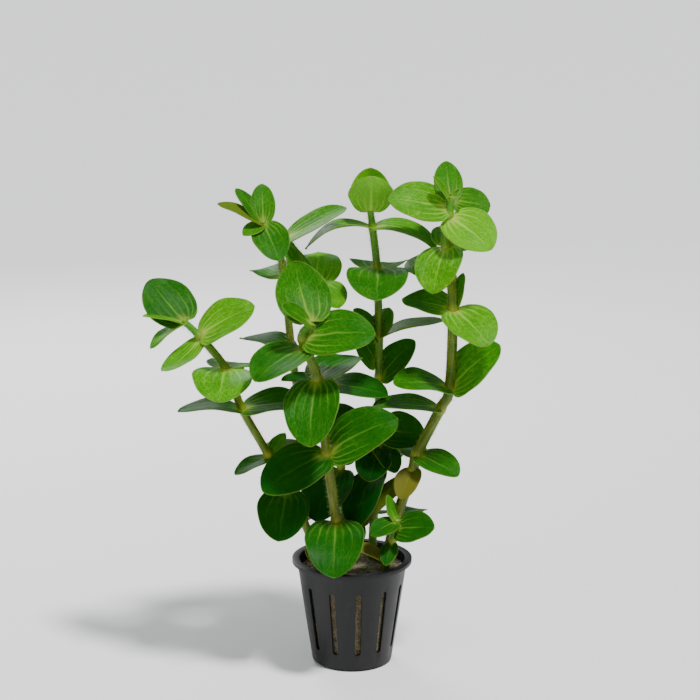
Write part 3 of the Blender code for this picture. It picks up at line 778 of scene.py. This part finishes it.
def makeHairs(shoot, finish):
    form = hairForm
    chance = random.Random("hairs " + shoot)
    route = smoothRoute(shoots[shoot][1], stemPlan["stepsPerJoint"])
    ways = directions(route)
    bm = bmesh.new()
    count = 0
    for index in range(len(route) - 1):
        share = index / (len(route) - 1)
        gap = (route[index + 1] - route[index]).length
        wanted = gap * form["perMillimetre"] * (form["plugShare"] + form["tipMore"] * share)
        for _ in range(int(wanted + chance.random())):
            place = route[index].lerp(route[index + 1], chance.random())
            way = ways[index]
            turn = chance.uniform(0, 2 * math.pi)
            outward = Matrix.Rotation(turn, 3, way) @ way.orthogonal().normalized()
            length = form["length"] * chance.uniform(*form["lengths"])
            lean = (outward + way * chance.uniform(*form["lean"])).normalized()
            start = place + outward * stemRadius(shoot, share) * form["rootPlace"]
            addNeedle(bm, form, start + lean * length / 2, lean, length)
            count += 1
    finishPiece(f"stemHairs_{shoot}", bm, [finish])
    return count


potForm = {
    "height": 48, "topRadius": 25, "baseRadius": 18, "wall": 1.2, "floor": 1.4,
    "rimRadius": 27, "rimDepth": 1.6, "chamfer": 1,
    "slots": 12, "slotWidth": 2.6, "slotBottom": 8, "slotTop": 38, "slotTurn": 0.25,
    "slotRound": 0.48, "slotRoundSteps": 6,  # the slots' ends are nearly half round
    "drains": 6, "drainRadius": 2, "drainCircle": 11, "drainSides": 28,
    "sides": 96, "softEdge": 0.22, "softSteps": 3, "softAngle": 40, "sharpAngle": 50,
    "black": (0.0045, 0.0045, 0.005), "worn": (0.011, 0.011, 0.0115),
    "scuffScale": 140.0, "scuffEdges": (0.5, 0.75), "grainScale": 2600.0,
    "roughness": (0.32, 0.25),  # the least, and what scuffs add
    "specular": 0.3, "bump": 0.25, "bumpDepth": 0.05,
}


def outerRadius(z):
    return potForm["baseRadius"] + (potForm["topRadius"] - potForm["baseRadius"]) * z / potForm["height"]


def innerRadius(z):
    return outerRadius(z) - potForm["wall"]


def spinProfile(bm, profile, sides):
    points = [bm.verts.new((radius * mm, 0, z * mm)) for radius, z in profile]
    edges = [bm.edges.new(pair) for pair in zip(points, points[1:])]
    bmesh.ops.spin(bm, geom=points + edges, axis=(0, 0, 1), cent=(0, 0, 0), angle=2 * math.pi,
                   steps=sides, use_merge=True)
    bmesh.ops.remove_doubles(bm, verts=bm.verts, dist=0.005 * mm)
    bmesh.ops.recalc_face_normals(bm, faces=bm.faces)


def makePlasticFinish():
    form = potForm
    finish, tree, shader = newFinish("blackPotPlastic")
    place = objectPlace(tree)
    scuffs = cloudy(tree, place, form["scuffScale"], 6.0)
    colour = mixColours(tree, fade(tree, scuffs, *form["scuffEdges"]), form["black"], form["worn"])
    fillInputs(tree, shader, {"Base Color": colour, "Roughness": line(tree, scuffs, *form["roughness"]),
                              "Specular IOR Level": form["specular"]})
    addBump(tree, shader, cloudy(tree, place, form["grainScale"]), form["bump"], form["bumpDepth"])
    return finish


def makePotCutters():
    form = potForm
    cutters = bmesh.new()
    middle, tall = (form["slotTop"] + form["slotBottom"]) / 2, form["slotTop"] - form["slotBottom"]
    reach = form["rimRadius"] - form["baseRadius"] / 2
    for index in range(form["slots"]):
        turn = Matrix.Rotation(2 * math.pi * (index + form["slotTurn"]) / form["slots"], 4, "Z")
        across = Matrix.Translation(((form["rimRadius"] - reach / 2) * mm, 0, middle * mm))
        size = Matrix.Diagonal((reach * mm, form["slotWidth"] * mm, tall * mm, 1))
        made = bmesh.ops.create_cube(cutters, size=1, matrix=turn @ across @ size)["verts"]
        ends = dict.fromkeys(edge for vert in made for edge in vert.link_edges  # its long level edges
                             if abs(edge.verts[0].co.z - edge.verts[1].co.z) < 1e-6
                             and abs((edge.verts[0].co - edge.verts[1].co).length - reach * mm) < 1e-5)
        bmesh.ops.bevel(cutters, geom=list(ends), offset=form["slotWidth"] * form["slotRound"] * mm,
                        affect="EDGES", segments=form["slotRoundSteps"], profile=0.5, material=-1)
    for index in range(form["drains"]):
        turn = 2 * math.pi * index / form["drains"]
        spot = Matrix.Translation((form["drainCircle"] * math.cos(turn) * mm,
                                   form["drainCircle"] * math.sin(turn) * mm, 0))
        bmesh.ops.create_cone(cutters, cap_ends=True, segments=form["drainSides"],
                              radius1=form["drainRadius"] * mm, radius2=form["drainRadius"] * mm,
                              depth=form["baseRadius"] * mm, matrix=spot)
    mesh = bpy.data.meshes.new("potCutters")
    cutters.to_mesh(mesh)
    cutters.free()
    cutter = bpy.data.objects.new("potCutters", mesh)
    bpy.context.collection.objects.link(cutter)
    return cutter


def makePot(finish):
    form = potForm
    height, rimBase = form["height"], form["height"] - form["rimDepth"]
    bm = bmesh.new()
    spinProfile(bm, [(0, 0), (form["baseRadius"] - form["chamfer"], 0),
                     (outerRadius(form["chamfer"]), form["chamfer"]), (outerRadius(rimBase), rimBase),
                     (form["rimRadius"], rimBase), (form["rimRadius"], height),
                     (innerRadius(height), height), (innerRadius(form["floor"]), form["floor"]),
                     (0, form["floor"])], form["sides"])
    pot = finishPiece("netPot", bm, [finish], ["pot"])
    cutter = makePotCutters()
    cut = pot.modifiers.new("slots and drains", "BOOLEAN")
    cut.operation, cut.solver, cut.object = "DIFFERENCE", "EXACT", cutter
    soft = pot.modifiers.new("moulded edges", "BEVEL")
    soft.width, soft.segments, soft.limit_method = form["softEdge"] * mm, form["softSteps"], "ANGLE"
    soft.angle_limit, soft.harden_normals = math.radians(form["softAngle"]), False
    shaped = bpy.data.meshes.new_from_object(pot.evaluated_get(bpy.context.evaluated_depsgraph_get()))
    pot.modifiers.clear()
    uncut, pot.data = pot.data, shaped
    cutterMesh = cutter.data
    bpy.data.objects.remove(cutter)
    for mesh in (uncut, cutterMesh):
        bpy.data.meshes.remove(mesh)
    shaped.name = "netPot"
    shaped.shade_smooth()
    shaped.set_sharp_from_angle(angle=math.radians(form["sharpAngle"]))
    print("pot:", len(shaped.polygons), "faces")


woolForm = {
    "top": 45, "crown": 1.0, "crownShare": 0.6, "gap": 0.3, "sides": 120, "wallSteps": 40, "lidSteps": 24,
    "lumps": 0.8, "lumpScale": 0.45, "lumpLevel": 0.15,  # how high and fine the lumps are, and their mean
    "levelBase": 0.5,      # this much of the foot stays smooth
    "tan": (0.330, 0.260, 0.130), "grey": (0.230, 0.210, 0.150), "dark": (0.060, 0.048, 0.026),
    "patchScale": 130.0, "patchEdges": (0.35, 0.65),
    "tangleScale": 900.0, "tangleTwist": 2.5, "tangleGaps": (0.62, 0.4),  # the gaps between fibres are darkened, as painted shade
    "strandScale": 260.0, "strandTwist": 18.0, "strandGaps": (0.55, 0.0), "strandGapShade": 0.55,
    "algae": (0.075, 0.105, 0.022), "algaeEdges": (0.45, 0.6), "algaeAmount": 0.5,
    "dampHeights": (0.030, 0.046),  # in metres
    "roughness": 0.9, "strandRelief": 0.6, "bump": 0.8, "bumpDepth": 0.5,
}


def makeWoolFinish():
    form = woolForm
    finish, tree, shader = newFinish("mineralWool")
    place = objectPlace(tree)
    patches = cloudy(tree, place, form["patchScale"], 5.0)
    tangle = addNode(tree, "ShaderNodeTexNoise", {
        "Vector": place, "Scale": form["tangleScale"], "Detail": 6.0,
        "Distortion": form["tangleTwist"]}).outputs["Fac"]
    strands = addNode(tree, "ShaderNodeTexWave", {
        "Vector": place, "Scale": form["strandScale"], "Distortion": form["strandTwist"],
        "Detail": 4.0, "Detail Scale": 3.0}).outputs["Fac"]
    colour = mixColours(tree, fade(tree, patches, *form["patchEdges"]), form["grey"], form["tan"])
    # Painted shade: the gaps between strands and between fibres are darkened towards the dark colour.
    gaps = times(tree, fade(tree, strands, *form["strandGaps"]), form["strandGapShade"])
    colour = mixColours(tree, gaps, colour, form["dark"])
    colour = mixColours(tree, fade(tree, tangle, *form["tangleGaps"]), colour, form["dark"])
    height = splitAxes(tree, place)[2]
    damp = times(tree, fade(tree, height, *form["dampHeights"]), fade(tree, patches, *form["algaeEdges"]))
    colour = mixColours(tree, times(tree, damp, form["algaeAmount"]), colour, form["algae"])
    fillInputs(tree, shader, {"Base Color": colour, "Roughness": form["roughness"]})
    relief = plus(tree, tangle, times(tree, strands, form["strandRelief"]))
    addBump(tree, shader, relief, form["bump"], form["bumpDepth"])
    return finish


def makeWool(finish):
    form = woolForm
    low, top = potForm["floor"] + form["gap"], form["top"]
    edge = top - form["crown"]
    wallSteps, lidSteps = form["wallSteps"], form["lidSteps"]
    heights = [low + (edge - low) * step / wallSteps for step in range(wallSteps + 1)]
    wall = [(innerRadius(z) - form["gap"], z) for z in heights]
    crown = innerRadius(top)
    lid = [(crown * (1 - step / lidSteps) - form["gap"] * (1 - step / lidSteps),
            edge + form["crown"] * min(1, step / lidSteps / (1 - form["crownShare"])))
           for step in range(1, lidSteps)]
    bm = bmesh.new()
    spinProfile(bm, [(0, low), *wall, *lid, (0, top)], form["sides"])
    for vert in bm.verts:
        x, y, z = vert.co / mm
        if z < low + form["levelBase"]:
            continue
        lump = noise.fractal(vert.co / mm * form["lumpScale"], 0.9, 2.0, 4) * form["lumps"]
        radius = math.hypot(x, y)
        if z > edge - 0.1:
            vert.co.z += (lump - form["lumpLevel"]) * mm
        elif radius > 1:
            vert.co.x -= x / radius * abs(lump) * mm
            vert.co.y -= y / radius * abs(lump) * mm
    finishPiece("mineralWoolPlug", bm, [finish], ["growing_medium"])


fibreForm = {
    "count": 1500, "lengths": (1.5, 4.5), "girth": 0.07, "tipGirth": 0.4, "sides": 4,
    "edge": 1.5, "tipEdge": 0.6,  # how far their middles and tips stay from the pot's wall
    "sink": 0.1, "spread": 0.3,   # how deep their middles lie, and how much that varies
    "rises": (-0.1, 0.5),         # in radians
    "pale": (0.520, 0.470, 0.300), "dark": (0.250, 0.200, 0.110),
    "patchScale": 500.0, "patchEdges": (0.35, 0.65),
    "roughness": 0.7,
}


def makeFibres(finish):
    form = fibreForm
    chance = random.Random("fibres")
    top = woolForm["top"]
    bm = bmesh.new()
    for _ in range(form["count"]):
        radius = (innerRadius(top) - form["edge"]) * math.sqrt(chance.random())
        turn = chance.uniform(0, 2 * math.pi)
        length = chance.uniform(*form["lengths"])
        height = top - form["sink"] + chance.uniform(-form["spread"], form["spread"])
        place = Vector((radius * math.cos(turn), radius * math.sin(turn), height))
        heading, rise = chance.uniform(0, 2 * math.pi), chance.uniform(*form["rises"])
        lean = aimed(heading, rise)
        tip = place + lean * length / 2
        if math.hypot(tip.x, tip.y) <= innerRadius(top) - form["tipEdge"]:
            addNeedle(bm, form, place, lean, length)
    finishPiece("woolFibres", bm, [finish])


studio = {
    "floorSize": 30, "floorColour": (0.90, 0.90, 0.89), "floorRoughness": 0.7,
    "skyColour": (0.92, 0.95, 1.0), "skyStrength": 0.34,
    "backdrop": (1.31, 1.31, 1.3),  # as bright as the lit floor, so that no horizon shows
    "sunFrom": (0.45, -0.5, 1.5), "sunStrength": 4.3, "sunSpread": 9,
    "target": (-0.9, 0, 143.4), "distance": 770, "elevation": 12, "lens": 90,
}
softLights = {  # place and target in metres, size, power
    "fillLight": ((-0.8, -0.7, 0.45), (0, 0, 0.12), 0.8, 2.5),
    "rimLight": ((-0.3, 0.8, 0.6), (0, 0, 0.14), 0.4, 4),
}


def makeFloor():
    bm = bmesh.new()
    bmesh.ops.create_grid(bm, x_segments=1, y_segments=1, size=studio["floorSize"])
    mesh = bpy.data.meshes.new("studioFloor")
    bm.to_mesh(mesh)
    bm.free()
    finish, tree, shader = newFinish("studioFloor")
    fillInputs(tree, shader, {"Base Color": withAlpha(studio["floorColour"]),
                              "Roughness": studio["floorRoughness"]})
    mesh.materials.append(finish)
    floor = bpy.data.objects.new("studioFloor", mesh)
    bpy.context.collection.objects.link(floor)


def makeSky():
    world = bpy.data.worlds.new("studio")
    world.use_nodes = True
    tree = world.node_tree
    sky = tree.nodes["Background"]
    fillInputs(tree, sky, {"Color": withAlpha(studio["skyColour"]), "Strength": studio["skyStrength"]})
    seen = addNode(tree, "ShaderNodeBackground", {"Color": withAlpha(studio["backdrop"]), "Strength": 1.0})
    direct = addNode(tree, "ShaderNodeLightPath").outputs["Is Camera Ray"]
    both = addNode(tree, "ShaderNodeMixShader", {0: direct, 1: sky.outputs[0], 2: seen.outputs[0]})
    tree.links.new(both.outputs[0], tree.nodes["World Output"].inputs["Surface"])
    bpy.context.scene.world = world


def placeLight(name, data, way):
    light = bpy.data.objects.new(name, data)
    light.rotation_euler = way.to_track_quat("-Z", "Y").to_euler()
    bpy.context.collection.objects.link(light)
    return light


def makeLights():
    sun = bpy.data.lights.new("keySun", "SUN")
    sun.energy, sun.angle = studio["sunStrength"], math.radians(studio["sunSpread"])
    placeLight("keySun", sun, -Vector(studio["sunFrom"]))
    for name, (place, target, size, power) in softLights.items():
        data = bpy.data.lights.new(name, "AREA")
        data.shape, data.size, data.energy = "DISK", size, power
        placeLight(name, data, Vector(target) - Vector(place)).location = place


def makeCamera():
    data = bpy.data.cameras.new("camera")
    data.lens, data.sensor_width = studio["lens"], 36
    camera = bpy.data.objects.new("camera", data)
    rise = math.radians(studio["elevation"])
    target = Vector(studio["target"]) * mm
    camera.location = target + Vector((0, -math.cos(rise), math.sin(rise))) * studio["distance"] * mm
    camera.rotation_euler = (math.pi / 2 - rise, 0, 0)
    bpy.context.collection.objects.link(camera)
    bpy.context.scene.camera = camera


leafPattern = makeLeafPattern()
leafFinishes = [makeLeafFinish(name, leafPattern) for name in leafSides]
makeLeaves(leafFinishes)
makeYoungLeaves(leafFinishes)
stemFinish = makeStemFinish()
for shoot in shoots:
    makeStem(shoot, stemFinish)
print("stems:", len(shoots))
hairFinish = makePatchyFinish("stemHair", hairForm, "pale", "green")
print("stem hairs:", sum(makeHairs(shoot, hairFinish) for shoot in shoots))
makePot(makePlasticFinish())
makeWool(makeWoolFinish())
makeFibres(makePatchyFinish("woolFibre", fibreForm, "pale", "dark"))
print("plug of mineral wool, with its fibres")
makeFloor()
makeSky()
makeLights()
makeCamera()
print("floor, lights and camera")
